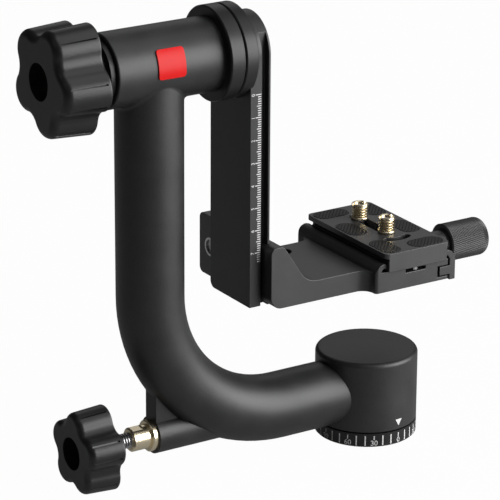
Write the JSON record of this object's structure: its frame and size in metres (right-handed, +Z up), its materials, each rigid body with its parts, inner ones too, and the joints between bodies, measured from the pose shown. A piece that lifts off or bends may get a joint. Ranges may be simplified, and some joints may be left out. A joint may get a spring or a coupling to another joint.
{
  "type": "gimbal tripod head",
  "caption": "Side-mount gimbal tripod head: bent tube arm on a panning base, swinging camera arm, height-adjustable quick-release platform and star lock knobs.",
  "frame": {"origin": "centre of the base's underside, on the pan axis, at the mouth of the tripod thread", "axes": "+Z up along the pan axis; +X along the tilt axis, from the tilt lock knob towards the quick-release clamp; +Y towards the back of the clamp"},
  "size_m": [0.2797, 0.0842, 0.2631],
  "materials": {
    "dial_black": "black anodised, matte",
    "cast_black": "fine-textured satin powder coat",
    "disc_black": "turned, black anodised",
    "arm_black": "fine-blasted, black anodised",
    "bracket_black": "milled, black anodised",
    "jaw_black": "milled, black anodised",
    "plate_black": "milled, black anodised",
    "grip_black": "diamond-knurled, black anodised",
    "knob_black": "moulded, half gloss",
    "lock_knob_black": "moulded, matte",
    "turned_steel": "turned",
    "screw_steel": "zinc plated",
    "dark_steel": "black oxide",
    "bearing_steel": "ground and polished",
    "plain_aluminium": "turned, plain",
    "gold_brass": "turned, pale, bright",
    "nylon_white": "moulded nylon",
    "badge_red": "enamelled",
    "pad_rubber": "moulded, ribbed"
  },
  "bodies": {
    "base": {"dial_ring": "dial_black", "base_plate": "dark_steel", "spindle": "turned_steel", "thread_bushing": "screw_steel", "base_screws": "dark_steel", "pan_inner_rings": "bearing_steel", "pan_balls": "bearing_steel", "brake_drum": "turned_steel", "spindle_nut": "turned_steel"},
    "swing_arm": {"pan_housing": "cast_black", "bearing_retainer": "plain_aluminium", "pan_outer_rings": "bearing_steel", "swing_frame": "cast_black", "lock_bushing": "gold_brass", "front_disc": "disc_black", "slip_washer": "nylon_white", "tilt_outer_rings": "bearing_steel", "badge": "badge_red"},
    "pan_brake": {"brake_rod": "turned_steel", "brake_shoe": "gold_brass"},
    "pan_lock": {"pan_knob": "knob_black", "pan_knob_stud": "turned_steel"},
    "tilt_brake": {"pressure_plate": "disc_black"},
    "tilt_lock": {"tilt_knob": "knob_black", "tilt_knob_insert": "gold_brass"},
    "cradle": {"tilt_axle": "turned_steel", "axle_sleeves": "plain_aluminium", "tilt_inner_rings": "bearing_steel", "tilt_balls": "bearing_steel", "back_disc": "disc_black", "camera_arm": "arm_black", "disc_screws": "screw_steel", "axle_screw": "screw_steel"},
    "platform": {"platform_bracket": "bracket_black", "bracket_set_screw": "dark_steel", "guide_pins": "turned_steel", "clamp_screw": "turned_steel"},
    "height_jaw": {"rear_jaw": "jaw_black", "lock_ring": "plain_aluminium"},
    "height_lock": {"lock_knob": "lock_knob_black", "lock_stud": "turned_steel"},
    "clamp_jaw": {"moving_jaw": "jaw_black", "clamp_sleeve": "jaw_black", "clamp_washer": "dark_steel"},
    "clamp_handle": {"clamp_grip": "grip_black", "grip_insert": "gold_brass"},
    "plate": {"camera_plate": "plate_black", "plate_pads": "pad_rubber", "stop_screw": "screw_steel"},
    "front_slider": {"front_clip": "screw_steel"},
    "front_fixing": {"front_screw": "screw_steel", "front_adapter": "gold_brass"},
    "back_slider": {"back_clip": "screw_steel"},
    "back_fixing": {"back_screw": "screw_steel", "back_adapter": "gold_brass"}
  },
  "joints": [
    {"name": "pan", "type": "hinge", "parent": "base", "child": "swing_arm", "pos_m": [0, 0, 0.03], "axis": [0, 0, 1], "continuous": true},
    {"name": "pan_brake_travel", "type": "slide", "parent": "swing_arm", "child": "pan_brake", "axis": [1, 0, 0], "range_m": [-0.003, 0.0003]},
    {"name": "pan_lock_turn", "type": "hinge", "parent": "pan_brake", "child": "pan_lock", "pos_m": [-0.17, 0, 0.0269], "axis": [1, 0, 0], "range_deg": [-721, 73]},
    {"name": "tilt_brake_travel", "type": "slide", "parent": "swing_arm", "child": "tilt_brake", "axis": [1, 0, 0], "range_m": [-0.003, 0.0003]},
    {"name": "tilt_lock_turn", "type": "hinge", "parent": "tilt_brake", "child": "tilt_lock", "pos_m": [-0.18, 0, 0.234], "axis": [1, 0, 0], "range_deg": [-721, 73]},
    {"name": "tilt", "type": "hinge", "parent": "swing_arm", "child": "cradle", "pos_m": [-0.12, 0, 0.234], "axis": [1, 0, 0], "continuous": true},
    {"name": "height", "type": "slide", "parent": "cradle", "child": "platform", "axis": [0, 0, 1], "range_m": [-0.008, 0.084]},
    {"name": "height_jaw_travel", "type": "slide", "parent": "platform", "child": "height_jaw", "axis": [1, 0, 0], "range_m": [-0.00125, 0]},
    {"name": "height_lock_turn", "type": "hinge", "parent": "platform", "child": "height_lock", "pos_m": [-0.06, 0.0342, 0.1124], "axis": [1, 0, 0], "range_deg": [-1, 361]},
    {"name": "clamp_travel", "type": "slide", "parent": "platform", "child": "clamp_jaw", "axis": [1, 0, 0], "range_m": [0, 0.00375]},
    {"name": "clamp_turn", "type": "hinge", "parent": "clamp_jaw", "child": "clamp_handle", "pos_m": [0.06, 0, 0.1006], "axis": [1, 0, 0], "range_deg": [-1, 1081]},
    {"name": "plate_slide", "type": "slide", "parent": "platform", "child": "plate", "axis": [0, 1, 0], "range_m": [-0.078, 0]},
    {"name": "front_screw_shift", "type": "slide", "parent": "plate", "child": "front_slider", "axis": [0, 1, 0], "range_m": [-0.0008, 0.005]},
    {"name": "front_screw_turn", "type": "hinge", "parent": "front_slider", "child": "front_fixing", "pos_m": [0.0058, -0.0085, 0.115], "axis": [0, 0, 1], "continuous": true},
    {"name": "back_screw_shift", "type": "slide", "parent": "plate", "child": "back_slider", "axis": [0, 1, 0], "range_m": [-0.005, 0.0035]},
    {"name": "back_screw_turn", "type": "hinge", "parent": "back_slider", "child": "back_fixing", "pos_m": [0.0058, 0.0175, 0.115], "axis": [0, 0, 1], "continuous": true}
  ],
  "couplings": [
    {"joint": "pan_lock_turn", "follows": "pan_brake_travel", "rad_per_m": 4188.8},
    {"joint": "tilt_lock_turn", "follows": "tilt_brake_travel", "rad_per_m": 4188.8},
    {"joint": "height_lock_turn", "follows": "height_jaw_travel", "rad_per_m": -5026.5},
    {"joint": "clamp_turn", "follows": "clamp_travel", "rad_per_m": 5026.5}
  ]
}
